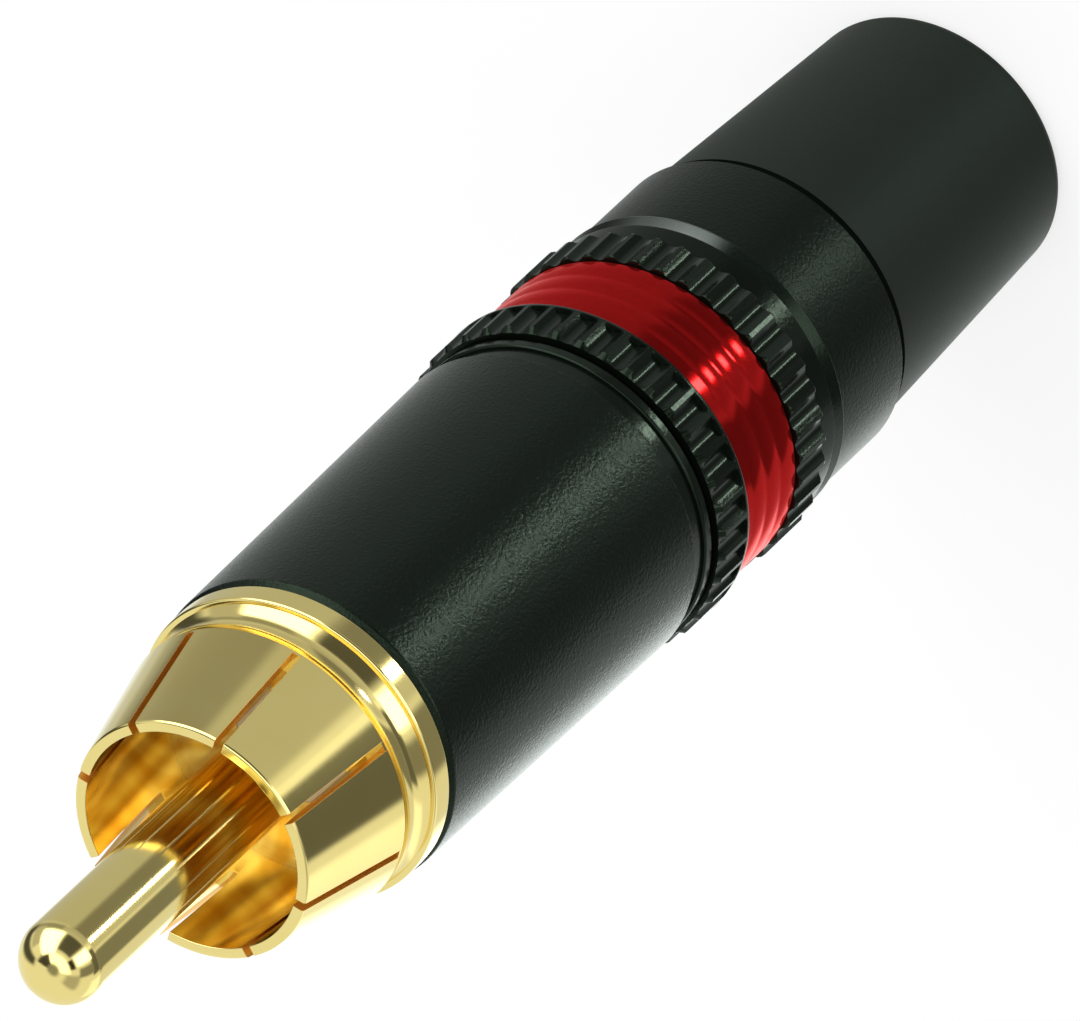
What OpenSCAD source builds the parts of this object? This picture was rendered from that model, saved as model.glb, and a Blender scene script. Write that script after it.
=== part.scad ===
// Phono plug with a slotted shield contact, a turned housing, a screw-on clamp nut and a cable boot.
// It stands on the boot's rear face, with +Z along its axis towards the tip of the centre pin.

/* [Cable] */
// Diameter of the largest cable that the plug takes
cable_d = 6; // [4.8:0.1:6.4]
// Radial room round the cable in the boot
cable_room = 0.2; // [0.1:0.05:0.3]

/* [Centre pin] */
// Diameter of the pin
pin_d = 3.2; // [2.8:0.05:3.4]
// How far the pin stands out of the petals' mouth
pin_reach = 9.75; // [7:0.05:12]
// Height of the pin's domed tip
pin_dome_h = 1.5; // [0.8:0.05:1.6]
// Diameter of the pin's shank in the insulator
shank_d = 2.6; // [2.2:0.05:2.75]
// Diameter of the solder cup's bore
cup_d = 1.8; // [1.2:0.05:1.9]
// Depth of the solder cup
cup_depth = 3.6; // [2:0.1:5]

/* [Outer contact] */
// Number of petals, an even number
petal_n = 8; // [4:2:12]
// Outside diameter at the petals' mouth
mouth_d = 9.4; // [8.8:0.05:10]
// Wall of a petal at its mouth
petal_wall = 0.42; // [0.3:0.02:0.6]
// Outside diameter at the petals' root
root_d = 11.4; // [11.2:0.05:11.6]
// Length of the petals
petal_len = 4.8; // [3.5:0.05:7]
// Width of the slot between two petals
slot_w = 0.34; // [0.2:0.02:0.8]
// Length of the cove between the petals and the flange
cove_len = 1.55; // [1:0.05:2.4]
// Depth of the cove
cove_depth = 0.25; // [0.1:0.05:0.4]
// Diameter at which the cove meets the flange
cove_d = 11.56; // [11.4:0.02:11.6]
// Diameter of the flange
flange_d = 12; // [11.7:0.05:12.1]
// Thickness of the flange
flange_t = 0.95; // [0.6:0.05:1.6]
// Diameter of the spigot that is pressed into the housing
spigot_d = 10; // [9.7:0.05:10.3]
// Length of the spigot
spigot_len = 4.2; // [3:0.1:6]
// Diameter of the space inside the petals' root
socket_d = 9.5; // [9.2:0.05:9.8]
// Diameter of the contact's bore for the insulator
dielectric_d = 7.8; // [7.2:0.05:8]
// Thickness of the rolled lip that holds the ground tag
lip_t = 0.3; // [0.2:0.05:0.5]

/* [Insulator and tag] */
// Thickness of the floor of the contact's socket
floor_t = 0.45; // [0.3:0.05:0.8]
// Diameter of the insulator's nose in that floor
nose_d = 4.4; // [3.8:0.1:5.4]
// Diameter of the insulator's rear boss
boss_d = 5.2; // [4.4:0.05:5.4]
// Length of the insulator's rear boss
boss_len = 2.2; // [1:0.1:3]
// Thickness of the ground tag's sheet
tag_t = 0.5; // [0.3:0.05:0.7]
// Width of the ground tag's tongue
tongue_w = 2.4; // [1.6:0.1:2.8]
// Length of the ground tag's tongue behind its ring
tongue_len = 6; // [4:0.1:6.8]
// Diameter of the hole in the tongue
tongue_hole_d = 1.2; // [0.8:0.1:1.4]
// Wall of the insulating tube
tube_wall = 0.4; // [0.25:0.05:0.5]

/* [Housing] */
// Length of the housing's smooth barrel
barrel_len = 16; // [14.5:0.1:20]
// Diameter at the front of the barrel
barrel_front_d = 12.14; // [12.1:0.02:12.6]
// Diameter at the rear of the barrel
barrel_rear_d = 12.6; // [12.4:0.05:12.9]
// Bevel at the front of the barrel
barrel_bevel = 0.25; // [0.1:0.05:0.4]
// Diameter of the recess behind the barrel
recess_d = 12.1; // [11.9:0.02:12.1]
// Width of that recess
recess_w = 0.82; // [0.3:0.01:1.2]
// Diameter of the rib between the recess and the grip
rib_d = 12.4; // [12.3:0.02:12.5]
// Width of that rib
rib_w = 0.47; // [0.4:0.01:1]
// Diameter at the bottom of the groove in front of the grip
groove_d = 11.7; // [11.6:0.05:12]
// Width of that groove
groove_w = 0.15; // [0.1:0.01:0.4]
// Diameter of the housing's knurled grip over its teeth
front_grip_d = 13.1; // [12.8:0.05:13.4]
// Length of the housing's grip
front_grip_len = 1.81; // [1.4:0.01:3]
// Bevel at the front of the housing's grip
grip_bevel = 0.2; // [0.1:0.02:0.3]
// Width of the lip that closes the grip's flutes at the rear
flute_lip = 0.18; // [0.1:0.02:0.4]
// Radial step from the threaded bore to the tube's space, where the chuck seats
chuck_ledge = 0.55; // [0.4:0.05:0.7]

/* [Knurl] */
// Number of teeth on each grip
tooth_n = 40; // [24:1:48]
// Width of a tooth's crest
crest_w = 0.24; // [0.1:0.02:0.4]
// Depth of the flutes
flute_depth = 0.22; // [0.1:0.02:0.26]

/* [Clamp nut] */
// Length of the smooth sleeve that holds the boot
sleeve_len = 4.64; // [3.8:0.02:7]
// Diameter of the sleeve
sleeve_d = 12.2; // [12:0.05:12.3]
// Length of the bevel at the sleeve's rear end
skirt_bevel = 0.42; // [0.2:0.02:0.6]
// How far that bevel falls
skirt_drop = 0.15; // [0.05:0.01:0.25]
// Wall of the sleeve round the boot's spigot
sleeve_wall = 0.85; // [0.6:0.05:1.1]
// Diameter of the bead in front of the sleeve
bead_d = 12.5; // [12.4:0.05:12.8]
// Width of the bead
bead_w = 0.62; // [0.5:0.02:1.2]
// How far the bead's front bevel falls
bead_drop = 0.19; // [0.1:0.01:0.2]
// Diameter of the plain rim between the bead and the grip
rim_d = 12.36; // [12.3:0.02:12.38]
// Width of the plain rim
rim_w = 1; // [0.4:0.05:1.5]
// Diameter of the nut's knurled grip over its teeth
rear_grip_d = 12.94; // [12.8:0.02:13.2]
// Length of the nut's grip
rear_grip_len = 1.7; // [1.2:0.05:3]
// Radial wall of the nut's threaded spigot
spigot_wall = 0.6; // [0.5:0.05:0.7]
// Height of the thread, the radial room between spigot and housing
thread_h = 0.3; // [0.2:0.02:0.34]
// Lead of the thread for one turn
thread_pitch = 0.75; // [0.5:0.05:1]
// Turns from tight to loose
nut_turns = 6; // [4:1:8]
// Turns of thread that still hold when the nut is loose
hold_turns = 2; // [1:0.5:3]

/* [Coding ring] */
// Length of the coding ring
ring_len = 3.67; // [2:0.05:5]
// Diameter of the coding ring over its bands
ring_d = 12.56; // [12.3:0.02:12.8]
// Number of shallow bands round the ring
band_n = 3; // [1:1:5]
// Width of a band
band_w = 0.96; // [0.5:0.02:1.1]
// Height of a band's crown
band_crown = 0.05; // [0.02:0.01:0.12]

/* [Cable chuck] */
// Radial room round the cable in the open chuck
chuck_room = 0.25; // [0.15:0.05:0.3]
// Wall of the chuck's tube
chuck_wall = 0.85; // [0.7:0.05:0.9]
// Wall of the fingers at their tips
finger_wall = 0.4; // [0.3:0.05:0.6]
// Number of fingers, an even number
finger_n = 6; // [4:2:8]
// Width of the slot between two fingers
finger_slot = 0.8; // [0.4:0.05:1.2]
// Length of the fingers
finger_len = 5.6; // [4:0.1:7]
// Length of the cone on the fingers
cone_len = 4; // [3:0.1:5]
// Thickness of the chuck's flange
chuck_flange_t = 1.2; // [0.8:0.1:1.6]
// Width of the two keys on the flange
key_w = 1.6; // [1:0.1:2.4]

/* [Boot] */
// Length of the boot behind its shoulder
boot_len = 12.14; // [8:0.02:18]
// Open gap between the boot's shoulder and the sleeve
boot_gap = 0.1; // [0.06:0.02:0.4]
// Diameter of the boot at its shoulder
boot_front_d = 11.68; // [11.4:0.02:12]
// Diameter of the boot at its rear end
boot_rear_d = 10.5; // [9.6:0.05:11]
// Rounding of the boot's rear edge
boot_round = 0.55; // [0.2:0.05:0.8]
// Bevel at the mouth of the cable hole
boot_mouth = 0.5; // [0.2:0.05:0.7]
// Length of the boot's spigot in the sleeve
boot_spigot_len = 3.06; // [2:0.02:3.2]

/* [Fits] */
// Radial room in a pressed or glued joint
press_room = 0.02; // [0.01:0.005:0.05]
// Radial room between pieces that turn or slide past each other
run_room = 0.2; // [0.1:0.02:0.24]
// Room at the end of a piece that mustn't bottom
end_room = 0.25; // [0.15:0.05:0.35]
// Small bevel on turned edges
edge = 0.1; // [0.05:0.01:0.14]

/* [Hidden] */

GOLD = [0.83, 0.7, 0.36];
BLACK = [0.1, 0.105, 0.1];
RED = [0.72, 0.06, 0.05];
IVORY = [0.9, 0.87, 0.78];
CLEAR = [0.85, 0.88, 0.9];
RUBBER = [0.17, 0.18, 0.17];

ROUND_FN = 128;
SMALL_FN = 48;
ARC_STEPS = 6;
DOME_STEPS = 16;
// Overshoot of a cutting body past the face that it leaves by
CUT = 1;

// Stations along the axis, from the boot's rear face to the pin's tip
z_boot = boot_len;
z_skirt = z_boot + boot_gap;
z_sleeve = z_skirt + sleeve_len;
z_bead = z_sleeve + bead_w;
z_rim = z_bead + rim_w;
z_nut = z_rim + rear_grip_len;
z_ring = z_nut + ring_len;
z_grip = z_ring + front_grip_len;
z_groove = z_grip + groove_w;
z_rib = z_groove + rib_w;
z_barrel = z_rib + recess_w;
z_front = z_barrel + barrel_len;
z_flange = z_front + flange_t;
z_root = z_flange + cove_len;
z_mouth = z_root + petal_len;
z_tip = z_mouth + pin_reach;
z_dome = z_tip - pin_dome_h;

// Stations inside the plug
z_spigot = z_front - spigot_len;
z_tag = z_spigot + lip_t;
z_shoulder = z_tag + tag_t;
z_ledge = z_front + end_room;
z_face = z_ledge + floor_t;
z_boss = z_shoulder - boss_len;
z_cup = z_boss - end_room - cup_depth;
z_seat = z_spigot - end_room;
z_thread = z_ring + (nut_turns + hold_turns)*thread_pitch;
z_chuck_back = z_thread + end_room;
z_chuck = z_chuck_back + chuck_flange_t;
z_neck = z_ring - end_room;
z_plug = z_skirt + boot_spigot_len;
z_floor = z_plug + end_room;
z_finger = z_floor + end_room;
z_cone = z_finger + cone_len;
z_finger_root = z_finger + finger_len;

// Radii of the front end
pin_r = pin_d/2;
shank_r = shank_d/2;
dome_r = (pin_r*pin_r + pin_dome_h*pin_dome_h)/(2*pin_dome_h);
spigot_r = spigot_d/2;
dielectric_r = dielectric_d/2;
socket_r = socket_d/2;
boss_r = boss_d/2;
nose_r = nose_d/2;
tag_r = (dielectric_r + spigot_r)/2;
lip_r = (dielectric_r + tag_r)/2;

// Radii of the cable's way and of the screwed joint, each built out from the one inside it
entry_r = cable_d/2 + cable_room;
chuck_bore_r = cable_d/2 + chuck_room;
chuck_r = chuck_bore_r + chuck_wall;
finger_r = chuck_bore_r + finger_wall;
nut_bore_r = chuck_r + run_room;
cone_r = finger_r + run_room;
core_r = nut_bore_r + spigot_wall;
thread_r = core_r + thread_h;
collar_r = thread_r + edge/2;
chuck_flange_r = thread_r - run_room;
key_r = thread_r + run_room;
keyway_r = key_r + edge;
tube_space_r = thread_r - chuck_ledge;
tube_r = tube_space_r - press_room;
tube_bore_r = tube_r - tube_wall;
sleeve_bore_r = sleeve_d/2 - sleeve_wall;

// The ridges inside the fingers that bite the cable's jacket
bite_n = 3;
bite_pitch = 1;
bite_h = chuck_room - cable_room/2;

function arc(centre, radius, from, to, steps = ARC_STEPS) =
    [for (i = [0:steps]) centre + radius*[cos(from + (to - from)*i/steps), sin(from + (to - from)*i/steps)]];

// A hollow curve from one [radius, height] point up to another, as deep as given below their chord
function hollow(low, high, depth, steps = ARC_STEPS) =
    let (chord = high - low, length = norm(chord))
    let (radius = (length*length/4 + depth*depth)/(2*depth))
    let (centre = (low + high)/2 + [chord.y, -chord.x]*(radius - depth)/length)
    let (tilt = atan2(-chord.x, chord.y), half = asin(length/2/radius))
    arc(centre, radius, 180 + tilt + half, 180 + tilt - half, steps);

// A turned body from its half section, given as [radius, height] points
module turned(section) {
    rotate_extrude($fn = ROUND_FN) polygon(section);
}

// Straight flutes round a grip of the given radius, from one height to another
module flutes(grip_r, from, to) {
    pitch = 2*PI*grip_r/tooth_n;
    flute_w = pitch - crest_w;
    flute_r = (flute_w*flute_w/4 + flute_depth*flute_depth)/(2*flute_depth);
    for (i = [0:tooth_n - 1])
        rotate(360*i/tooth_n)
            translate([grip_r + flute_r - flute_depth, 0, from])
                cylinder(r = flute_r, h = to - from, $fn = SMALL_FN);
}

// Slots sawn across the axis, two for each cut
module cross_slots(count, width, from, to, reach) {
    for (i = [0:count/2 - 1])
        rotate(360*(i + 0.5)/count)
            translate([-reach, -width/2, from])
                cube([2*reach, width, to - from]);
}

module centre_pin() {
    dome_start = asin((z_dome - z_tip + dome_r)/dome_r);
    color(GOLD)
        difference() {
            turned(concat(
                [[0, z_cup], [shank_r, z_cup], [shank_r, z_face], [pin_r, z_face]],
                arc([0, z_tip - dome_r], dome_r, dome_start, 90, DOME_STEPS)));
            translate([0, 0, z_cup - CUT])
                cylinder(d = cup_d, h = cup_depth + CUT, $fn = SMALL_FN);
            translate([-shank_d, 0, z_cup - CUT])
                cube([2*shank_d, shank_d, cup_depth - cup_d/2 + CUT]);
        }
}

module pin_insulator() {
    bore_r = shank_r + press_room;
    body_r = dielectric_r - press_room;
    color(IVORY)
        turned([
            [bore_r, z_boss], [boss_r, z_boss], [boss_r, z_shoulder], [body_r, z_shoulder],
            [body_r, z_ledge], [nose_r, z_ledge], [nose_r, z_face], [bore_r, z_face]]);
}

module outer_contact() {
    mouth_r = mouth_d/2;
    root_r = root_d/2;
    flange_r = flange_d/2;
    slope = (root_r - mouth_r)/petal_len;
    hole_r = nose_r + press_room;
    color(GOLD)
        difference() {
            turned(concat(
                [[lip_r, z_spigot], [spigot_r - edge, z_spigot], [spigot_r, z_spigot + edge]],
                [[spigot_r, z_front], [flange_r - edge, z_front], [flange_r, z_front + edge]],
                [[flange_r, z_flange - edge], [flange_r - edge, z_flange]],
                hollow([cove_d/2, z_flange], [root_r, z_root], cove_depth),
                [[mouth_r + slope*edge, z_mouth - edge], [mouth_r - edge, z_mouth]],
                [[mouth_r - petal_wall, z_mouth], [socket_r, z_root], [socket_r, z_face]],
                [[hole_r, z_face], [hole_r, z_ledge], [dielectric_r, z_ledge]],
                [[dielectric_r, z_shoulder], [tag_r, z_shoulder], [tag_r, z_tag], [lip_r, z_tag]]));
            cross_slots(petal_n, slot_w, z_root + edge, z_mouth + CUT, root_d);
        }
}

module ground_tag() {
    ring_r = tag_r - press_room;
    hole_r = boss_r + press_room;
    tongue_out = tube_bore_r - run_room;
    tongue_y = sqrt(tongue_out*tongue_out - tongue_w*tongue_w/4) - tag_t;
    end_z = z_tag - tongue_len + tongue_w/2;
    color(GOLD)
        difference() {
            union() {
                translate([0, 0, z_tag])
                    cylinder(r = ring_r, h = tag_t, $fn = ROUND_FN);
                translate([-tongue_w/2, tongue_y, end_z])
                    cube([tongue_w, tag_t, z_shoulder - end_z]);
                translate([0, tongue_y, end_z])
                    rotate([-90, 0, 0])
                        cylinder(d = tongue_w, h = tag_t, $fn = SMALL_FN);
            }
            translate([0, 0, z_tag - CUT])
                cylinder(r = hole_r, h = tag_t + 2*CUT, $fn = ROUND_FN);
            translate([0, tongue_y - CUT, end_z])
                rotate([-90, 0, 0])
                    cylinder(d = tongue_hole_d, h = tag_t + 2*CUT, $fn = SMALL_FN);
        }
}

module front_housing() {
    front_r = barrel_front_d/2;
    rear_r = barrel_rear_d/2;
    recess_r = recess_d/2;
    rib_r = rib_d/2;
    rib_edge = min(edge, (rib_d - recess_d)/3);
    groove_r = groove_d/2;
    grip_r = front_grip_d/2;
    seat_r = spigot_r + press_room;
    keyway_w = key_w + run_room;
    color(BLACK)
        difference() {
            turned(concat(
                [[seat_r, z_front], [front_r - barrel_bevel, z_front], [front_r, z_front - barrel_bevel]],
                arc([rear_r - edge, z_barrel + edge], edge, 0, -90),
                [[recess_r, z_barrel], [recess_r, z_rib]],
                arc([rib_r - rib_edge, z_rib - rib_edge], rib_edge, 90, 0),
                arc([rib_r - rib_edge, z_groove + rib_edge], rib_edge, 0, -90),
                [[groove_r, z_groove], [groove_r, z_grip]],
                [[grip_r - grip_bevel, z_grip], [grip_r, z_grip - grip_bevel]],
                [[grip_r, z_ring + edge], [grip_r - edge, z_ring], [thread_r + edge, z_ring]],
                [[thread_r, z_ring + edge], [thread_r, z_chuck], [tube_space_r, z_chuck]],
                [[tube_space_r, z_seat], [seat_r, z_seat]]));
            flutes(grip_r, z_ring + flute_lip, z_grip + groove_w/2);
            intersection() {
                translate([-keyway_r, -keyway_w/2, z_ring - CUT])
                    cube([2*keyway_r, keyway_w, z_chuck - z_ring + CUT]);
                translate([0, 0, z_ring - CUT])
                    cylinder(r = keyway_r, h = z_chuck - z_ring + CUT, $fn = ROUND_FN);
            }
        }
}

module insulating_tube() {
    color(CLEAR)
        turned([
            [tube_bore_r, z_chuck + end_room], [tube_r, z_chuck + end_room],
            [tube_r, z_seat], [tube_bore_r, z_seat]]);
}

module cable_chuck() {
    bite_z = z_finger + bite_pitch/2;
    color(IVORY)
        difference() {
            union() {
                turned(concat(
                    [[chuck_bore_r, z_chuck], [chuck_flange_r, z_chuck], [chuck_flange_r, z_chuck_back]],
                    [[chuck_r, z_chuck_back], [chuck_r, z_cone]],
                    [[finger_r, z_finger], [chuck_bore_r, z_finger]],
                    [for (i = [0:bite_n - 1], step = [0:2])
                        [chuck_bore_r - (step == 1 ? bite_h : 0), bite_z + bite_pitch*(i + step/3)]]));
                intersection() {
                    translate([0, 0, z_chuck_back])
                        difference() {
                            cylinder(r = key_r, h = chuck_flange_t, $fn = ROUND_FN);
                            translate([0, 0, -CUT])
                                cylinder(r = chuck_r, h = chuck_flange_t + 2*CUT, $fn = ROUND_FN);
                        }
                    translate([-key_r, -key_w/2, z_chuck_back])
                        cube([2*key_r, key_w, chuck_flange_t]);
                }
            }
            cross_slots(finger_n, finger_slot, z_finger - CUT, z_finger_root, chuck_r + CUT);
        }
}

module clamp_nut() {
    sleeve_r = sleeve_d/2;
    bead_r = bead_d/2;
    rim_r = rim_d/2;
    grip_r = rear_grip_d/2;
    color(BLACK)
        difference() {
            turned(concat(
                [[sleeve_bore_r, z_skirt], [sleeve_r - skirt_drop, z_skirt]],
                [[sleeve_r, z_skirt + skirt_bevel], [sleeve_r, z_sleeve]],
                arc([bead_r - edge, z_sleeve + edge], edge, -90, 0),
                [[bead_r - bead_drop, z_bead]],
                [[rim_r, z_bead], [rim_r, z_rim], [grip_r - edge, z_rim], [grip_r, z_rim + edge]],
                [[grip_r, z_nut - edge], [grip_r - edge, z_nut], [collar_r, z_nut], [collar_r, z_neck]],
                [[core_r, z_neck], [core_r, z_thread - edge], [core_r - edge, z_thread]],
                [[nut_bore_r, z_thread], [nut_bore_r, z_cone], [cone_r, z_finger]],
                [[cone_r, z_floor], [sleeve_bore_r, z_floor]]));
            flutes(grip_r, z_rim - edge, z_nut + CUT);
        }
}

module coding_ring() {
    bore_r = collar_r + edge/2;
    outer_r = ring_d/2;
    foot_r = outer_r - band_crown;
    pitch = min(band_w, (ring_len - 3*edge)/band_n);
    crown_r = (pitch*pitch/4 + band_crown*band_crown)/(2*band_crown);
    half = asin(pitch/2/crown_r);
    color(RED)
        turned(concat(
            [[bore_r, z_ring], [bore_r, z_nut], [foot_r - edge, z_nut]],
            [for (i = [0:band_n - 1])
                each arc([outer_r - crown_r, z_nut + edge + pitch*(i + 0.5)], crown_r, -half, half)],
            [[foot_r, z_ring - edge], [foot_r - edge, z_ring]]));
}

module boot() {
    front_r = boot_front_d/2;
    rear_r = boot_rear_d/2;
    plug_r = sleeve_bore_r - press_room;
    color(RUBBER)
        turned(concat(
            [[entry_r + boot_mouth, 0]],
            arc([rear_r - boot_round, boot_round], boot_round, -90, 0),
            [[front_r, z_boot], [plug_r, z_boot]],
            [[plug_r, z_plug - edge], [plug_r - edge, z_plug], [entry_r, z_plug], [entry_r, boot_mouth]]));
}

centre_pin();
pin_insulator();
outer_contact();
ground_tag();
front_housing();
insulating_tube();
cable_chuck();
clamp_nut();
coding_ring();
boot();
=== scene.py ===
"""Looks of a phono plug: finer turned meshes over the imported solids, their finishes, the studio and the camera."""

import logging
import math
from collections.abc import Callable, Iterator
from contextlib import contextmanager
from dataclasses import dataclass
from enum import Enum

import bmesh
import bpy
from mathutils import Matrix, Vector


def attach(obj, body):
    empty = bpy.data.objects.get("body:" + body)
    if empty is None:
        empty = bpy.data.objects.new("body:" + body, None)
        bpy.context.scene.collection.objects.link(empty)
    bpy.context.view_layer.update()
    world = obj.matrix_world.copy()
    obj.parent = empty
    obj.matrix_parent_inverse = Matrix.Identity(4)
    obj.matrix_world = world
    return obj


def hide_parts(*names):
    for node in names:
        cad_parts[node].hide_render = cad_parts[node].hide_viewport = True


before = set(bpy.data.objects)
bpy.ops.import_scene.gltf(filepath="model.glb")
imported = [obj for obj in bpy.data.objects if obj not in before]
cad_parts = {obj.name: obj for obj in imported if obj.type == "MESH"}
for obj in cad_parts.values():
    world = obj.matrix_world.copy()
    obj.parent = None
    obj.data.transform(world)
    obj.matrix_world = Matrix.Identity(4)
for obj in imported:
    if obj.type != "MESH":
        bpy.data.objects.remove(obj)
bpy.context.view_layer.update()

MM = 0.001
WHITE = (1.0, 1.0, 1.0, 1.0)
TURN = 2 * math.pi
log = logging.getLogger("plug")

Colour = tuple[float, float, float]
Span = tuple[float, float]


class Body(Enum):
    """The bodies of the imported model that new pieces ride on."""

    FRONT = "front_end"
    REAR = "rear_end"


class Signal:
    """An output socket that takes part in Python arithmetic, where each operation adds a Math node."""

    def __init__(self, graph: "Graph", socket: bpy.types.NodeSocket) -> None:
        """Wrap a socket of a graph."""
        self.graph = graph
        self.socket = socket

    def _math(self, operation: str, *values: "Signal | float") -> "Signal":
        """Add a Math node.

        Args:
            operation: The Math node's operation.
            values: Its inputs, in order.

        Returns:
            The node's value.
        """
        return self.graph.node("ShaderNodeMath", {"operation": operation}, dict(enumerate(values)))

    def __add__(self, other: "Signal | float") -> "Signal":
        """Add."""
        return self._math("ADD", self, other)

    def __radd__(self, other: float) -> "Signal":
        """Add to a number."""
        return self._math("ADD", other, self)

    def __sub__(self, other: "Signal | float") -> "Signal":
        """Subtract."""
        return self._math("SUBTRACT", self, other)

    def __rsub__(self, other: float) -> "Signal":
        """Subtract from a number."""
        return self._math("SUBTRACT", other, self)

    def __mul__(self, other: "Signal | float") -> "Signal":
        """Multiply."""
        return self._math("MULTIPLY", self, other)

    def __rmul__(self, other: float) -> "Signal":
        """Multiply a number."""
        return self._math("MULTIPLY", other, self)

    def __pow__(self, other: float) -> "Signal":
        """Raise to a power."""
        return self._math("POWER", self, other)

    def __abs__(self) -> "Signal":
        """Drop the sign."""
        return self._math("ABSOLUTE", self)

    def most(self, other: "Signal | float") -> "Signal":
        """Return the larger of two values."""
        return self._math("MAXIMUM", self, other)

    def least(self, other: "Signal | float") -> "Signal":
        """Return the smaller of two values."""
        return self._math("MINIMUM", self, other)

    def angle(self, other: "Signal") -> "Signal":
        """Return the angle of the point (other, self) in degrees."""
        return self._math("ARCTAN2", self, other) * math.degrees(1)

    def arcsine(self) -> "Signal":
        """Return the angle with this sine in degrees."""
        return self._math("ARCSINE", self) * math.degrees(1)

    def ease(self, low: float, high: float) -> "Signal":
        """Return 0 up to low, 1 from high on, and a smooth rise between them."""
        return self.graph.node(
            "ShaderNodeMapRange",
            {"interpolation_type": "SMOOTHSTEP"},
            {"Value": self, "From Min": low, "From Max": high},
        )

    def within(self, span: Span, soft: float) -> "Signal":
        """Return 1 inside a span and 0 outside.

        Args:
            span: The two ends.
            soft: Width over which the mask falls at each end.

        Returns:
            The mask.
        """
        middle, half = sum(span) / 2, (span[1] - span[0]) / 2
        return (half - abs(self - middle)).ease(-soft / 2, soft / 2)

    def other(self, out: str) -> "Signal":
        """Return another output of the same node."""
        return Signal(self.graph, self.socket.node.outputs[out])


class Graph:
    """A node tree that is written as expressions."""

    def __init__(self, tree: bpy.types.NodeTree) -> None:
        """Empty a node tree and take it over."""
        tree.nodes.clear()
        self.tree = tree

    def node(
        self,
        kind: str,
        settings: dict[str, object] | None = None,
        sockets: dict[str | int, object] | None = None,
        out: str | int = 0,
    ) -> Signal | None:
        """Add a node.

        Args:
            kind: Blender's name for the node's type.
            settings: Properties of the node, which are set first.
            sockets: Values or signals for its inputs, by name or number.
            out: The output that is wanted.

        Returns:
            That output, or None on a node without outputs.
        """
        node = self.tree.nodes.new(kind)
        for name, value in (settings or {}).items():
            setattr(node, name, value)
        for key, value in (sockets or {}).items():
            if isinstance(value, Signal):
                self.tree.links.new(value.socket, node.inputs[key])
            else:
                node.inputs[key].default_value = value
        return Signal(self, node.outputs[out]) if len(node.outputs) else None

    def place(self) -> Signal:
        """Return the piece's own coordinates, in metres."""
        return self.node("ShaderNodeTexCoord", out="Object")

    def axes(self, vector: Signal) -> tuple[Signal, Signal, Signal]:
        """Split a vector into its three parts."""
        x = self.node("ShaderNodeSeparateXYZ", sockets={0: vector})
        return x, x.other("Y"), x.other("Z")

    def reach(self) -> tuple[Signal, Signal]:
        """Return the distance from the plug's axis and the height along it, in mm."""
        x, y, z = self.axes(self.place())
        return (x * x + y * y) ** 0.5 * (1 / MM), z * (1 / MM)

    def around(self) -> Signal:
        """Return the angle round the plug's axis, in degrees from its -Y side."""
        x, y, _ = self.axes(self.place())
        return x.angle(0 - y)

    def noise(self, size: float, detail: float = 2.0, along: Signal | None = None) -> Signal:
        """Return soft noise from 0 to 1.

        Args:
            size: Size of its grain, in mm or in the unit of along.
            detail: Octaves of finer grain.
            along: A length or an angle that the noise follows, instead of all three axes.

        Returns:
            The noise.
        """
        if along is None:
            sockets = {"Vector": self.place(), "Scale": 1 / (size * MM), "Detail": detail}
            return self.node("ShaderNodeTexNoise", None, sockets)
        sockets = {"W": along, "Scale": 1 / size, "Detail": detail}
        return self.node("ShaderNodeTexNoise", {"noise_dimensions": "1D"}, sockets)

    def mix(self, share: Signal, low: Colour | Signal, high: Colour | Signal) -> Signal:
        """Mix two colours by a share from 0 to 1."""
        ends = [end if isinstance(end, Signal) else (*end, 1.0) for end in (low, high)]
        return self.node("ShaderNodeMix", {"data_type": "RGBA"}, {0: share, 6: ends[0], 7: ends[1]}, out=2)

    def bump(self, height: Signal, depth: float) -> Signal:
        """Return a normal tilted by a height from 0 to 1, where 1 stands for a depth in mm."""
        return self.node("ShaderNodeBump", None, {"Height": height, "Distance": depth * MM, "Strength": 1.0})

    def blend(self, share: Signal, low: Signal, high: Signal) -> Signal:
        """Mix two shaders by a share from 0 to 1."""
        return self.node("ShaderNodeMixShader", None, {0: share, 1: low, 2: high})

    def principled(self, **sockets: object) -> Signal:
        """Add the main shader, with its sockets named with underscores for spaces."""
        named = {key.replace("_", " "): value for key, value in sockets.items()}
        return self.node("ShaderNodeBsdfPrincipled", None, named)


@dataclass(frozen=True)
class Finish:
    """What all finishes share.

    Attributes:
        slot: The record's material slot.
        low: The darker of its two tones.
        high: The lighter of its two tones.
        rough: Its mean roughness.
    """

    slot: str
    low: Colour
    high: Colour
    rough: float

    def surface(self, graph: Graph) -> Signal:
        """Wire the finish's shader and return it."""
        raise NotImplementedError

    def material(self) -> bpy.types.Material:
        """Make the finish's material, on its first use.

        Returns:
            The material.
        """
        name = f"{self.slot}_finish"
        found = bpy.data.materials.get(name)
        if found:
            return found
        made = bpy.data.materials.new(name)
        made.use_nodes = True
        graph = Graph(made.node_tree)
        graph.node("ShaderNodeOutputMaterial", None, {"Surface": self.surface(graph)})
        return made

    def dress(self, piece: bpy.types.Object) -> None:
        """Put the finish on a piece, in place of what it has.

        Args:
            piece: The piece.
        """
        piece.data.materials.clear()
        piece.data.materials.append(self.material())


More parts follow.
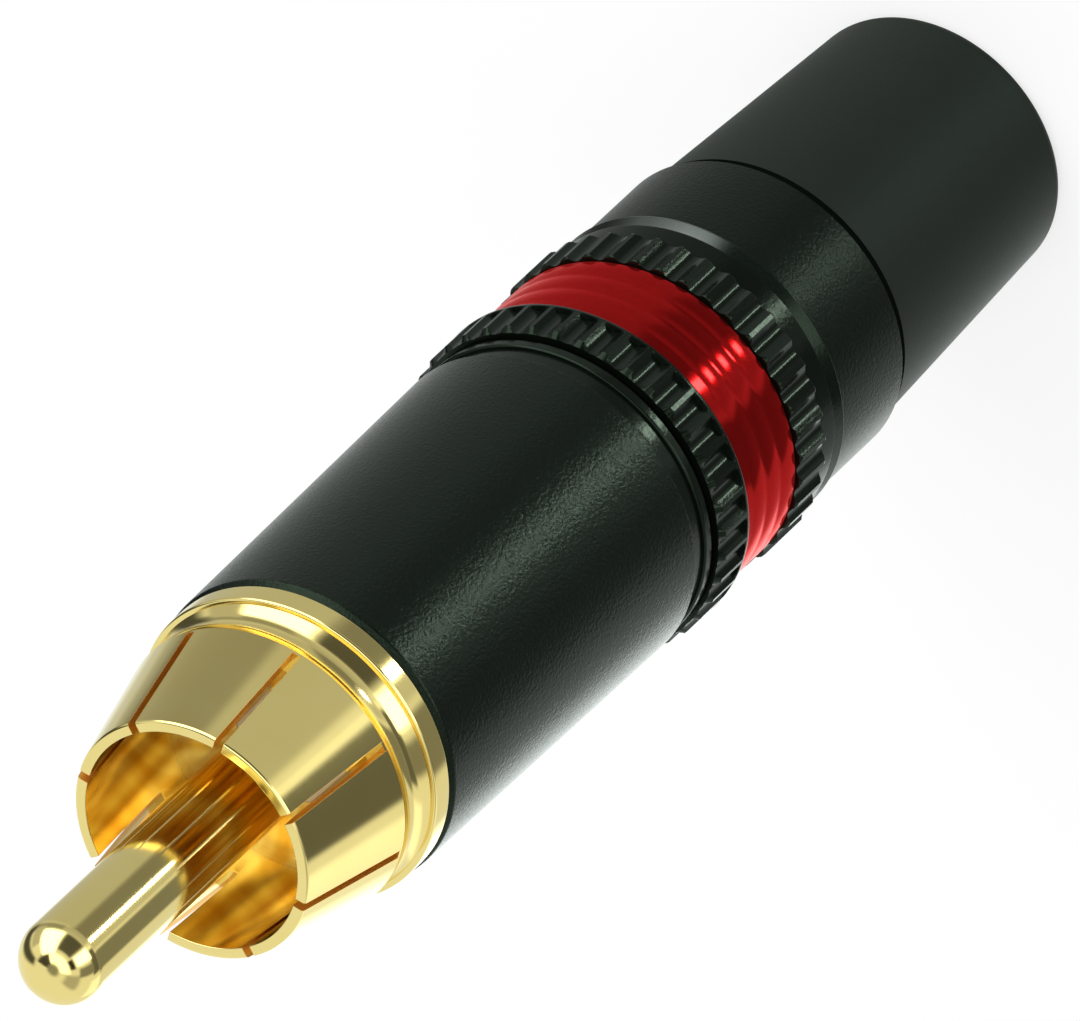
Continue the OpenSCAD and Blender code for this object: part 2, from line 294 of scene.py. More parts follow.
@dataclass(frozen=True)
class GoldPlate(Finish):
    """Polished gold over turned brass, with faint tool lines, duller in the socket and on the sawn faces, and with
    painted reflections and shade in amber and orange in the socket, on the pin's foot and on the sawn faces.

    Attributes:
        line: Width of a tool line in mm.
        line_depth: Its depth.
        root: Height of the petals' root.
        middle: Radius of the middle of the petals' wall at their root.
        lean: How far that middle comes in for each mm of height.
        sawn: Distance of the slots' faces from the planes through the axis that the saw ran along.
        sawn_reflection_tone: Colour of those faces, a painted orange reflection of the gold round them.
        sawn_rough: How much rougher they are.
        sawn_from: Radius at which they start.
        socket_reflection_tones: The two colours of the streaks in the socket, painted reflections and shade of the
            slots and walls.
        streak: Width of such a painted streak in degrees round the axis.
        stem_reflection_tone: Colour of the pin where it stands in the socket, a painted orange reflection of the
            socket's walls.
        stem: Radius within which only the pin lies.
        mouth: Height up to which the socket has its painted tone.
        fade: Depth over which that tone comes in.
        floor: Height below which the socket's floor lies.
        floor_matt: Share of the metal's shine that the floor lacks, so that the painted socket tone shows there as
            lit colour in place of light bounced round the socket.
        soft: Half the width over which the inside turns into the outside.
        dull: How much rougher the socket is than the outside.
        tooled: How much rougher the deepest tool lines are.
    """

    line: float = 0.05
    line_depth: float = 0.0006
    root: float = 45.62
    middle: float = 5.225
    lean: float = 0.153
    sawn: Span = (0.156, 0.184)
    sawn_reflection_tone: Colour = (0.88, 0.5, 0.11)
    sawn_rough: float = 0.3
    sawn_from: float = 4.0
    socket_reflection_tones: tuple[Colour, Colour] = ((0.72, 0.44, 0.06), (1.0, 0.8, 0.3))
    streak: float = 13.0
    stem_reflection_tone: Colour = (1.0, 0.62, 0.1)
    stem: float = 2.0
    mouth: float = 50.32
    fade: float = 1.5
    floor: float = 44.62
    floor_matt: float = 0.45
    soft: float = 0.05
    dull: float = 0.02
    tooled: float = 0.05

    def _sawn(self, graph: Graph) -> Signal:
        """Find the faces of the eight slots, which lie 22.5 and 67.5 degrees from the axes.

        Args:
            graph: The material's graph.

        Returns:
            A mask that is 1 on those faces.
        """
        x, y, z = (abs(part) * (1 / MM) for part in graph.axes(graph.place()))
        planes = [abs(x * math.sin(turn) - y * math.cos(turn)) for turn in (TURN / 16, 3 * TURN / 16)]
        return planes[0].least(planes[1]).within(self.sawn, 0.01) * z.ease(self.root, self.root + 0.1)

    def surface(self, graph: Graph) -> Signal:
        """Wire plating whose tone drifts a little and whose polish keeps fine turning lines, with painted
        reflections and shade in the socket and on the sawn faces.

        Args:
            graph: The material's graph.

        Returns:
            The shader.
        """
        radius, height = graph.reach()
        lines = graph.noise(self.line, 3, along=height + radius)
        cloud = graph.noise(3.0, 3)
        wall = self.middle - self.lean * (height - self.root)
        inside = (wall - radius).ease(-self.soft, self.soft) * (self.mouth - height).ease(0, self.fade)
        # The sawn faces' orange tone is a painted reflection of the gold round them; their extra roughness is their
        # own.
        sawn = self._sawn(graph) * radius.ease(self.sawn_from, self.sawn_from + 0.2) * (1 - inside)
        plate = graph.mix(cloud, self.low, self.high)
        floor = inside * (self.floor - height).ease(0, 0.5)
        stem = inside * (self.stem - radius).ease(0, 0.1)
        # Painted reflections and shade: amber streaks round the socket and an orange foot on the pin stand in for
        # light bounced between the gold walls.
        streaks = graph.noise(self.streak, 1, along=graph.around()).ease(0.3, 0.7)
        socket = graph.mix(stem, graph.mix(streaks, *self.socket_reflection_tones), self.stem_reflection_tone)
        return graph.principled(
            Base_Color=graph.mix(sawn, graph.mix(inside, plate, socket), self.sawn_reflection_tone),
            # The socket's floor is less metallic so that its painted tone shows as lit colour.
            Metallic=1 - self.floor_matt * floor,
            Roughness=self.rough + self.tooled * lines * cloud + self.dull * inside + self.sawn_rough * sawn,
            Normal=graph.bump(lines, self.line_depth),
        )


@dataclass(frozen=True)
class BlackShell(Finish):
    """Satin black coat on turned metal, shinier where hands and tools touch it, with a painted highlight on one side
    of the bead and painted shade on the rim and the sleeve's rear bevel.

    Attributes:
        grain: Size of the coat's grain in mm.
        grain_depth: Its depth.
        grain_rough: How much rougher it makes the coat.
        gleam: Strength of the coat's reflection.
        gleam_tone: Colour of that reflection.
        outside: Radii over which the outside starts.
        shine: How much smoother the grips are.
        shiny: Heights between which they lie.
        bead: Heights between which the bead lies, which carries a painted highlight on one side.
        highlight_side: Angle round the axis at which the painted highlight is strongest, in degrees.
        highlight_reach: How far to either side the painted highlight goes.
        highlight_fade: Over how much of that it fades.
        skin: Colour of the painted highlight, a pale bare-metal tone laid on one side of the bead.
        seam: Heights of the sleeve's rear bevel, made matte and unreflecting as painted shade for the shadow under
            the sleeve's edge.
        rim: Heights of the rim between the bead and the grip, which carries painted shade.
        rim_shade: Share of its shine that the rim lacks, as painted shade between the bead and the grip.
        sleeve_matt: Share of its shine that the sleeve lacks.
        sleeve_rough: How much rougher the sleeve is.
    """

    grain: float = 0.13
    grain_depth: float = 0.02
    grain_rough: float = 0.14
    gleam: float = 0.22
    gleam_tone: Colour = (0.72, 1.0, 0.7)
    outside: Span = (5.85, 5.9)
    shine: float = 0.06
    shiny: Span = (16.9, 26.9)
    bead: Span = (16.86, 17.52)
    highlight_side: float = 44.0
    highlight_reach: float = 26.0
    highlight_fade: float = 22.0
    skin: Colour = (0.22, 0.235, 0.22)
    seam: Span = (12.2, 12.66)
    rim: Span = (17.52, 18.45)
    rim_shade: float = 0.4
    sleeve_matt: float = 0.25
    sleeve_rough: float = 0.05

    def surface(self, graph: Graph) -> Signal:
        """Wire a fine-grained coat that is smoother on the grips and duller on the sleeve, with a painted highlight
        on one side of the bead and painted shade on the rim and the sleeve's rear bevel.

        Args:
            graph: The material's graph.

        Returns:
            The shader.
        """
        radius, height = graph.reach()
        grain = graph.noise(self.grain, 3)
        cloud = graph.noise(2.5, 2)
        grips = height.within(self.shiny, 0.2)
        outside = radius.ease(*self.outside)
        rear = self.sleeve_rough * (17 - height).ease(0, 0.2)
        tone = graph.mix(cloud * 0.7 + grain * 0.3, self.low, self.high)
        coat = graph.principled(
            Base_Color=tone,
            Roughness=self.rough + self.grain_rough * grain - self.shine * grips + rear,
            Specular_IOR_Level=self.gleam,
            Specular_Tint=(*self.gleam_tone, 1.0),
            Normal=graph.bump(grain * (1 - 0.7 * grips), self.grain_depth),
        )
        # Painted highlight: a pale metallic shader for one side of the bead, in place of the light that falls there.
        skin = graph.principled(
            Base_Color=graph.mix(cloud * 0.3, self.skin, self.high),
            Metallic=1.0,
            Roughness=self.rough - 0.04 * grain,
        )
        matte = graph.principled(Base_Color=tone, Roughness=0.8, Specular_IOR_Level=0.0)
        # Painted highlight mask: strongest at one angle round the axis, fading to either side.
        side = (self.highlight_reach - abs(graph.around() - self.highlight_side)).ease(0, self.highlight_fade)
        coat_and_highlight = graph.blend(height.within(self.bead, 0.03) * outside * side, coat, skin)
        sleeve = (self.bead[0] - height).ease(0, 0.02)
        # Painted shade: the rim and the sleeve's rear bevel are mixed towards the unreflecting matte shader so that
        # they read dark; the sleeve's duller share is its own finish.
        rim, seam = height.within(self.rim, 0.02), height.within(self.seam, 0.02)
        dull = (self.sleeve_matt * sleeve).most(self.rim_shade * rim).most(seam)
        return graph.blend(outside * dull, coat_and_highlight, matte)


@dataclass(frozen=True)
class RedGloss(Finish):
    """Clear gloss over a deep red ring."""

    grain: float = 0.3

    def surface(self, graph: Graph) -> Signal:
        """Wire a red whose depth drifts round the ring, under a gloss coat.

        Args:
            graph: The material's graph.

        Returns:
            The shader.
        """
        cloud = graph.noise(self.grain, 3)
        return graph.principled(
            Base_Color=graph.mix(cloud, self.low, self.high),
            Metallic=1.0,
            Roughness=self.rough + 0.08 * cloud,
            Specular_Tint=(1.0, 0.5, 0.5, 1.0),
            Coat_Weight=0.1,
            Coat_Roughness=0.05,
            Sheen_Weight=1.0,
            Sheen_Roughness=0.4,
            Sheen_Tint=(1.0, 0.03, 0.03, 1.0),
            Normal=graph.bump(cloud, 0.001),
        )


@dataclass(frozen=True)
class BootPlastic(Finish):
    """Soft dark plastic with the fine matte skin of its mould."""

    grain: float = 0.09
    grain_depth: float = 0.006

    def surface(self, graph: Graph) -> Signal:
        """Wire a matte skin of fine pits with a slow drift of tone.

        Args:
            graph: The material's graph.

        Returns:
            The shader.
        """
        grain = graph.noise(self.grain, 3)
        cloud = graph.noise(2.0, 3)
        return graph.principled(
            Base_Color=graph.mix(cloud * 0.6 + grain * 0.4, self.low, self.high),
            Roughness=self.rough + 0.1 * grain,
            Specular_IOR_Level=0.22,
            Specular_Tint=(0.8, 1.0, 0.8, 1.0),
            Normal=graph.bump(grain, self.grain_depth),
        )


@dataclass(frozen=True)
class MouldedPlastic(Finish):
    """Plain moulded plastic, natural or clear."""

    clear: float = 0.0

    def surface(self, graph: Graph) -> Signal:
        """Wire a smooth moulded skin with faint flow marks.

        Args:
            graph: The material's graph.

        Returns:
            The shader.
        """
        cloud = graph.noise(1.2, 4)
        return graph.principled(
            Base_Color=graph.mix(cloud, self.low, self.high),
            Roughness=self.rough + 0.1 * cloud,
            Transmission_Weight=self.clear,
            Normal=graph.bump(cloud, 0.004),
        )


GOLD = GoldPlate("gold_plate", (0.88, 0.68, 0.24), (0.94, 0.76, 0.32), 0.09)
BLACK = BlackShell("black_shell", (0.0018, 0.0026, 0.0018), (0.0032, 0.0044, 0.0032), 0.18)
RED = RedGloss("red_plastic", (0.3, 0.0024, 0.0024), (0.37, 0.004, 0.004), 0.075)
BOOT = BootPlastic("boot_plastic", (0.0052, 0.0066, 0.0052), (0.008, 0.0098, 0.008), 0.5)
IVORY = MouldedPlastic("ivory_plastic", (0.84, 0.80, 0.69), (0.92, 0.89, 0.80), 0.4)
CLEAR = MouldedPlastic("clear_plastic", (0.84, 0.87, 0.88), (0.92, 0.94, 0.95), 0.15, clear=0.85)


@dataclass(frozen=True)
class Corner:
    """A corner of a turned section: its radius and height, and how far it is rounded, all in mm."""

    r: float
    z: float
    round: float = 0.0

    def at(self) -> Vector:
        """Return its place in the plane of the section."""
        return Vector((self.r, 0.0, self.z))


def hollow(low: Corner, high: Corner, depth: float, steps: int = 12) -> list[Corner]:
    """Draw a hollow arc between two corners.

    Args:
        low: The corner that it starts from.
        high: The corner above, where it ends.
        depth: Depth of the arc below the straight line.
        steps: Number of straight pieces.

    Returns:
        The corners along the arc, with both ends. A negative depth gives a crown.
    """
    chord = high.at() - low.at()
    sideways = Vector((-chord.z, 0.0, chord.x)).normalized()
    radius = (chord.length_squared / 4 + depth * depth) / (2 * abs(depth))
    half = math.asin(min(1.0, chord.length / 2 / radius))
    found = []
    for i in range(steps + 1):
        turn = half * (2 * i / steps - 1)
        rise = radius * (math.cos(turn) - math.cos(half)) * math.copysign(1, depth)
        point = low.at() + chord * (0.5 + math.sin(turn) * radius / chord.length) + sideways * rise
        found.append(Corner(point.x, point.z))
    return found


class Bench:
    """The modelling bench, where a piece is drawn in mm and shaped in edit mode."""

    SMOOTH = math.radians(35)
    MERGE = 1e-5
    NEAR = 1e-3
    SMALL_ROUND = 0.5
    SEGMENTS = (4, 20)

    @staticmethod
    def only(piece: bpy.types.Object) -> None:
        """Select one piece alone and make it active.

        Args:
            piece: The piece.
        """
        bpy.ops.object.select_all(action="DESELECT")
        piece.select_set(True)
        bpy.context.view_layer.objects.active = piece

    @classmethod
    @contextmanager
    def editing(cls, piece: bpy.types.Object) -> Iterator[None]:
        """Hold a piece in edit mode, with all of it selected at the start.

        Args:
            piece: The piece.

        Yields:
            Nothing, while the piece is edited.
        """
        cls.only(piece)
        bpy.ops.object.mode_set(mode="EDIT")
        bpy.ops.mesh.select_mode(type="VERT")
        bpy.ops.mesh.select_all(action="SELECT")
        yield
        bpy.ops.object.mode_set(mode="OBJECT")

    @staticmethod
    def pick(piece: bpy.types.Object, test: Callable[[Vector], bool]) -> int:
        """Select the points of a piece in edit mode by their place.

        Args:
            piece: The piece that is edited.
            test: Says whether the point at a place is wanted.

        Returns:
            How many points are selected.
        """
        bpy.ops.mesh.select_all(action="DESELECT")
        mesh = bmesh.from_edit_mesh(piece.data)
        for point in mesh.verts:
            point.select_set(test(point.co))
        mesh.select_flush(True)
        bmesh.update_edit_mesh(piece.data)
        return piece.data.count_selected_items()[0]

    @classmethod
    def section(cls, name: str, corners: list[Corner]) -> bpy.types.Object:
        """Draw a closed section point by point and round its corners.

        Args:
            name: Name of the piece.
            corners: The section's corners in order.

        Returns:
            The section's outline as a piece of edges alone.
        """
        bpy.ops.object.select_all(action="DESELECT")
        bpy.ops.mesh.primitive_plane_add(size=1)
        piece = bpy.context.object
        piece.name = piece.data.name = name
        with cls.editing(piece):
            bpy.ops.mesh.merge(type="CENTER")
            bpy.ops.transform.translate(value=corners[0].at())
            for here, there in zip(corners, [*corners[1:], corners[0]]):
                step = there.at() - here.at()
                bpy.ops.mesh.extrude_vertices_move(TRANSFORM_OT_translate={"value": step})
            bpy.ops.mesh.select_all(action="SELECT")
            bpy.ops.mesh.remove_doubles(threshold=cls.MERGE)
            bpy.ops.mesh.edge_face_add()
            for radius in sorted({corner.round for corner in corners} - {0.0}):
                places = [corner.at() for corner in corners if corner.round == radius]
                cls.pick(piece, lambda co: any((co - place).length < cls.NEAR for place in places))
                segments = cls.SEGMENTS[radius >= cls.SMALL_ROUND]
                bpy.ops.mesh.bevel(
                    affect="VERTICES", offset=radius, segments=segments, profile=0.5, clamp_overlap=False
                )
            bpy.ops.mesh.select_all(action="SELECT")
            bpy.ops.mesh.delete(type="ONLY_FACE")
            if cls.pick(piece, lambda co: co.x < cls.NEAR) == 2:
                bpy.ops.mesh.select_mode(type="EDGE")
                bpy.ops.mesh.delete(type="EDGE")
                bpy.ops.mesh.select_mode(type="VERT")
        return piece

    @classmethod
    def turned(cls, name: str, corners: list[Corner], steps: int) -> bpy.types.Object:
        """Spin a section once round the axis.

        Args:
            name: Name of the piece.
            corners: The section's corners in order.
            steps: Number of steps round the axis.

        Returns:
            The closed turned piece, still in mm.
        """
        piece = cls.section(name, corners)
        with cls.editing(piece):
            bpy.ops.mesh.spin(steps=steps, angle=TURN, center=(0, 0, 0), axis=(0, 0, 1))
            bpy.ops.mesh.select_all(action="SELECT")
            bpy.ops.mesh.remove_doubles(threshold=cls.MERGE)
            bpy.ops.mesh.normals_make_consistent(inside=False)
        return piece

    @classmethod
    def block(cls, name: str, low: Vector, high: Vector, turn: float = 0.0) -> bpy.types.Object:
        """Make a cutter.

        Args:
            name: Name of the cutter.
            low: Its lowest corner.
            high: Its highest corner.
            turn: Angle that it is then turned about the axis, in radians.

        Returns:
            The cutter.
        """
        bpy.ops.object.select_all(action="DESELECT")
        bpy.ops.mesh.primitive_cube_add(size=1)
        piece = bpy.context.object
        piece.name = name
        with cls.editing(piece):
            bpy.ops.transform.resize(value=high - low)
            bpy.ops.transform.translate(value=(low + high) / 2)
        piece.data.transform(Matrix.Rotation(turn, 4, "Z"))
        return piece

    @classmethod
    def cut(cls, piece: bpy.types.Object, cutters: list[bpy.types.Object]) -> None:
        """Cut a piece with each cutter in turn, and throw the cutters away.

        Args:
            piece: The piece.
            cutters: The cutters.
        """
        for cutter in cutters:
            cls.only(piece)
            bpy.ops.object.modifier_add(type="BOOLEAN")
            saw = piece.modifiers[-1]
            saw.operation, saw.solver, saw.object = "DIFFERENCE", "EXACT", cutter
            bpy.ops.object.modifier_apply(modifier=saw.name)
            bpy.data.objects.remove(cutter)

    @classmethod
    def finished(cls, piece: bpy.types.Object) -> bpy.types.Object:
        """Smooth a piece's rounds, keep its edges, and bring it from mm to metres.

        Args:
            piece: The piece, in mm.

        Returns:
            The same piece, in metres.
        """
        cls.only(piece)
        bpy.ops.object.shade_smooth_by_angle(angle=cls.SMOOTH)
        bpy.ops.object.modifier_add(type="WEIGHTED_NORMAL")
        weight = piece.modifiers[-1]
        weight.keep_sharp = True
        bpy.ops.object.modifier_apply(modifier=weight.name)
        piece.scale = (MM, MM, MM)
        bpy.ops.object.transform_apply(location=True, rotation=True, scale=True)
        return piece


@dataclass
class SubAssembly:
    """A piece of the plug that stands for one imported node.

    Its sizes are in mm, with radii from the plug's axis and heights above the boot's rear face.

    Attributes:
        node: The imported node, or nothing for a piece that the solids lack.
        body: The body that it rides on.
        finish: What it is dressed in.
    """

    node: str
    body: Body
    finish: Finish

    def corners(self) -> list[Corner]:
        """Return the corners of the piece's turned section."""
        raise NotImplementedError

    def build(self) -> bpy.types.Object:
        """Build the piece's mesh, in mm."""
        raise NotImplementedError

    def make(self) -> bpy.types.Object:
        """Build, finish, dress and seat the piece in place of its node.

        Returns:
            The piece.
        """
        piece = Bench.finished(self.build())
        self.finish.dress(piece)
        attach(piece, self.body.value)
        if self.node:
            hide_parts(self.node)
        log.info("%s: %d faces on %s", piece.name, len(piece.data.polygons), self.body.value)
        return piece


@dataclass
class CentrePin(SubAssembly):
    """The contact pin, with its domed tip in front and its solder cup inside."""

    radius: float = 1.6
    tip: float = 60.17
    dome: float = 1.5
    face: float = 43.82
    shank: float = 1.3
    rear: float = 33.67
    cup: float = 0.9
    cup_depth: float = 3.6
    steps: int = 160

    def corners(self) -> list[Corner]:
        """Draw the half section from the tip to the bottom of the cup.

        Returns:
            Its corners in order.
        """
        floor = self.rear + self.cup_depth
        return [
            Corner(0, self.tip), Corner(self.radius, self.tip, self.dome), Corner(self.radius, self.face),
            Corner(self.shank, self.face), Corner(self.shank, self.rear), Corner(self.cup, self.rear),
            Corner(self.cup, floor), Corner(0, floor),
        ]

    def build(self) -> bpy.types.Object:
        """Turn the pin and mill its cup half open.

        Returns:
            The piece, in mm.
        """
        piece = Bench.turned("pin_gold", self.corners(), self.steps)
        open_to = self.rear + self.cup_depth - self.cup
        low, high = Vector((-self.radius, 0, self.rear - 1)), Vector((self.radius, self.radius, open_to))
        Bench.cut(piece, [Bench.block("cup_cutter", low, high)])
        return piece


@dataclass
class OuterContact(SubAssembly):
    """The shield contact: sprung petals, a cove, a flange and the spigot in the housing."""

    petals: int = 8
    slot: float = 0.34
    mouth: float = 4.7
    wall: float = 0.42
    root: float = 5.7
    socket: float = 4.75
    flange: float = 6.0
    cove: float = 5.78
    cove_depth: float = 0.25
    spigot: float = 5.0
    bore: float = 3.9
    tag: float = 4.45
    lip: float = 4.175
    edge: float = 0.1
    front: float = 43.12
    flange_front: float = 44.07
    root_z: float = 45.62
    mouth_z: float = 50.42
    face: float = 43.82
    hole: float = 2.22
    ledge: float = 43.37
    rear: float = 38.92
    tag_low: float = 39.22
    tag_high: float = 39.72
    steps: int = 320

    def corners(self) -> list[Corner]:
        """Draw the contact's whole section, from its rear lip round the outside and back through the bore.

        Returns:
            Its corners in order.
        """
        edge = self.edge
        outside = [
            Corner(self.lip, self.rear), Corner(self.spigot, self.rear, edge), Corner(self.spigot, self.front),
            Corner(self.flange, self.front, edge), Corner(self.flange, self.flange_front, edge),
        ]
        cove = hollow(Corner(self.cove, self.flange_front), Corner(self.root, self.root_z), self.cove_depth)
        inside = [
            Corner(self.mouth, self.mouth_z, edge), Corner(self.mouth - self.wall, self.mouth_z, edge / 2),
            Corner(self.socket, self.root_z), Corner(self.socket, self.face), Corner(self.hole, self.face),
            Corner(self.hole, self.ledge), Corner(self.bore, self.ledge),
            Corner(self.bore, self.tag_high), Corner(self.tag, self.tag_high), Corner(self.tag, self.tag_low),
            Corner(self.lip, self.tag_low),
        ]
        return [*outside, *cove, *inside]

    def build(self) -> bpy.types.Object:
        """Turn the contact and saw its slots, two with each cut.

        Returns:
            The piece, in mm.
        """
        piece = Bench.turned("contact_gold", self.corners(), self.steps)
        low = Vector((-self.flange, -self.slot / 2, self.root_z + self.edge))
        high = Vector((self.flange, self.slot / 2, self.mouth_z + 1))
        turns = [TURN * (i + 0.5) / self.petals for i in range(self.petals // 2)]
        Bench.cut(piece, [Bench.block(f"saw_{i}", low, high, turn) for i, turn in enumerate(turns)])
        return piece


@dataclass(frozen=True)
class Grip:
    """A knurled grip of straight hollow flutes.

    Attributes:
        radius: Radius over its teeth.
        span: Heights between which the flutes run.
        teeth: Number of teeth.
        crest: Width of a tooth's crest.
        depth: Depth of a flute.
        steps: Points across one tooth and flute.
    """

    radius: float
    span: Span
    teeth: int = 40
    crest: float = 0.24
    depth: float = 0.22
    steps: int = 12

    def floor(self, step: int) -> float:
        """Find the radius of a flute's floor.

        Args:
            step: Number of points from the middle of the flute.

        Returns:
            The radius there.
        """
        pitch = TURN * self.radius / self.teeth
        half = (pitch - self.crest) / 2
        bow = (half * half + self.depth * self.depth) / (2 * self.depth)
        across = step * pitch / self.steps
        if across >= half:
            return self.radius
        return self.radius + bow - self.depth - math.sqrt(bow * bow - across * across)

    def press(self, piece: bpy.types.Object) -> None:
        """Press the flutes into a turned piece, ring by ring.

        Args:
            piece: The piece.
        """
        grain = self.teeth * self.steps / TURN
        low, high = self.span
        with Bench.editing(piece):
            points = [v.co.copy() for v in bmesh.from_edit_mesh(piece.data).verts]
            rings = {
                (round(co.xy.length, 4), round(co.z, 4))
                for co in points
                if low < co.z < high and co.xy.length > self.floor(0)
            }
            for step in range(self.steps // 2):
                floor = self.floor(step)
                for radius, height in sorted(ring for ring in rings if ring[0] > floor + Bench.NEAR):
                    self._press_ring(piece, step, grain, (radius, height), floor / radius)

    def _press_ring(
        self, piece: bpy.types.Object, step: int, grain: float, ring: Span, shrink: float
    ) -> None:
        """Press one ring's points that lie a number of steps from the flutes' middles.

        Args:
            piece: The piece that is edited.
            step: How many points from the middle of its flute a pressed point lies.
            grain: Points for each radian.
            ring: Radius and height of the ring.
            shrink: Share of the radius that is left.
        """
        radius, height = ring

        def wanted(co: Vector) -> bool:
            """Say whether a point is on the ring and at that step of its flute.

            Args:
                co: The point's place.

            Returns:
                True for a point that is pressed.
            """
            if abs(co.z - height) > Bench.NEAR or abs(co.xy.length - radius) > Bench.NEAR:
                return False
            place = round(math.atan2(co.y, co.x) * grain) % self.steps
            return min(place, self.steps - place) == step

        Bench.pick(piece, wanted)
        bpy.ops.transform.resize(value=(shrink, shrink, 1), center_override=(0, 0, 0))


@dataclass
class FrontHousing(SubAssembly):
    """The black shell, with its smooth barrel, its recess and rib, and its own grip."""

    front: float = 43.12
    front_r: float = 6.07
    bevel: float = 0.25
    rear_r: float = 6.3
    barrel: float = 27.12
    recess_r: float = 6.05
    rib: float = 26.3
    rib_r: float = 6.2
    groove: float = 25.83
    groove_r: float = 5.85
    grip_z: float = 25.68
    grip_r: float = 6.55
    grip_bevel: float = 0.2
    rear: float = 23.87
    flute_lip: float = 0.18
    flute_end: float = 0.03
    thread_r: float = 5.2
    chuck_z: float = 31.32
    tube_r: float = 4.65
    seat: float = 38.67
    seat_r: float = 5.02
    keyway: float = 1.8
    keyway_r: float = 5.5
    edge: float = 0.1

    def corners(self) -> list[Corner]:
        """Draw the shell's whole section, from its front face round the outside and back through the bore.

        Returns:
            Its corners in order.
        """
        edge, lip = self.edge, self.rear + self.flute_lip
        outside = [
            Corner(self.seat_r, self.front), Corner(self.front_r - self.bevel, self.front, edge / 2),
            Corner(self.front_r, self.front - self.bevel, edge / 2), Corner(self.rear_r, self.barrel, edge),
            Corner(self.recess_r, self.barrel), Corner(self.recess_r, self.rib), Corner(self.rib_r, self.rib, edge),
            Corner(self.rib_r, self.groove, edge), Corner(self.groove_r, self.groove),
            Corner(self.groove_r, self.grip_z), Corner(self.grip_r - self.grip_bevel, self.grip_z),
            Corner(self.grip_r, self.grip_z - self.grip_bevel), Corner(self.grip_r, lip + self.flute_end),
            Corner(self.grip_r, lip), Corner(self.grip_r, self.rear, edge),
        ]
        inside = [
            Corner(self.thread_r + edge, self.rear), Corner(self.thread_r, self.rear + edge),
            Corner(self.thread_r, self.chuck_z), Corner(self.tube_r, self.chuck_z),
            Corner(self.tube_r, self.seat), Corner(self.seat_r, self.seat),
        ]
        return [*outside, *inside]

    def build(self) -> bpy.types.Object:
        """Turn the shell, press its grip and broach the keyways for the chuck.

        Returns:
            The piece, in mm.
        """
        lip = self.rear + self.flute_lip
        grip = Grip(self.grip_r, (lip + self.flute_end / 2, self.grip_z + self.edge))
        piece = Bench.turned("housing_black", self.corners(), grip.teeth * grip.steps)
        grip.press(piece)
        low = Vector((-self.keyway_r, -self.keyway / 2, self.rear - 1))
        high = Vector((self.keyway_r, self.keyway / 2, self.chuck_z))
        Bench.cut(piece, [Bench.block("broach", low, high)])
        return piece


@dataclass
class ClampNut(SubAssembly):
    """The clamp nut: a smooth sleeve, a bead, a rim, a grip and the threaded spigot."""

    rear: float = 12.24
    skirt: float = 0.42
    skirt_drop: float = 0.15
    bore_r: float = 5.25
    sleeve_r: float = 6.1
    sleeve: float = 16.88
    bead_r: float = 6.25
    bead: float = 17.5
    bead_drop: float = 0.19
    rim_r: float = 6.18
    rim: float = 18.5
    grip_r: float = 6.47
    front: float = 20.2
    collar_r: float = 5.25
    neck: float = 23.62
    core_r: float = 4.9
    end: float = 29.87
    way_r: float = 4.3
    cone: float = 19.8
    cone_r: float = 3.85
    finger: float = 15.8
    floor: float = 15.55
    edge: float = 0.1

    def corners(self) -> list[Corner]:
        """Draw the nut's whole section, from its rear face round the outside and back through the bore.

        Returns:
            Its corners in order.
        """
        edge = self.edge
        return [
            Corner(self.bore_r, self.rear), Corner(self.sleeve_r - self.skirt_drop, self.rear),
            Corner(self.sleeve_r, self.rear + self.skirt), Corner(self.sleeve_r, self.sleeve),
            Corner(self.bead_r, self.sleeve, edge),
            Corner(self.bead_r - self.bead_drop, self.bead), Corner(self.rim_r, self.bead),
            Corner(self.rim_r, self.rim),
            Corner(self.grip_r, self.rim, edge), Corner(self.grip_r, self.front, edge),
            Corner(self.collar_r, self.front), Corner(self.collar_r, self.neck), Corner(self.core_r, self.neck),
            Corner(self.core_r, self.end, edge), Corner(self.way_r, self.end), Corner(self.way_r, self.cone),
            Corner(self.cone_r, self.finger), Corner(self.cone_r, self.floor), Corner(self.bore_r, self.floor),
        ]

    def build(self) -> bpy.types.Object:
        """Turn the nut and press its grip from end to end.

        Returns:
            The piece, in mm.
        """
        grip = Grip(self.grip_r, (self.rim - self.edge, self.front + self.edge))
        piece = Bench.turned("nut_black", self.corners(), grip.teeth * grip.steps)
        grip.press(piece)
        return piece


@dataclass
class CodingRing(SubAssembly):
    """The red ring with its shallow crowned bands."""

    low: float = 20.2
    high: float = 23.87
    bore: float = 5.3
    radius: float = 6.28
    crown: float = 0.035
    bands: int = 3
    width: float = 0.96
    edge: float = 0.1
    steps: int = 320

    def corners(self) -> list[Corner]:
        """Draw the ring's section, with one crowned arc for each band.

        Returns:
            Its corners in order.
        """
        foot = self.radius - self.crown
        starts = [self.low + self.edge + self.width * i for i in range(self.bands)]
        arcs = [
            corner
            for start in starts
            for corner in hollow(Corner(foot, start), Corner(foot, start + self.width), -self.crown, 8)[:-1]
        ]
        arcs.append(Corner(foot, starts[-1] + self.width))
        top = Corner(foot, self.high - self.edge)
        ends = [Corner(foot - self.edge, self.high), Corner(self.bore, self.high)]
        return [Corner(self.bore, self.low), Corner(foot - self.edge, self.low), *arcs, top, *ends]

    def build(self) -> bpy.types.Object:
        """Turn the ring."""
        return Bench.turned("ring_red", self.corners(), self.steps)


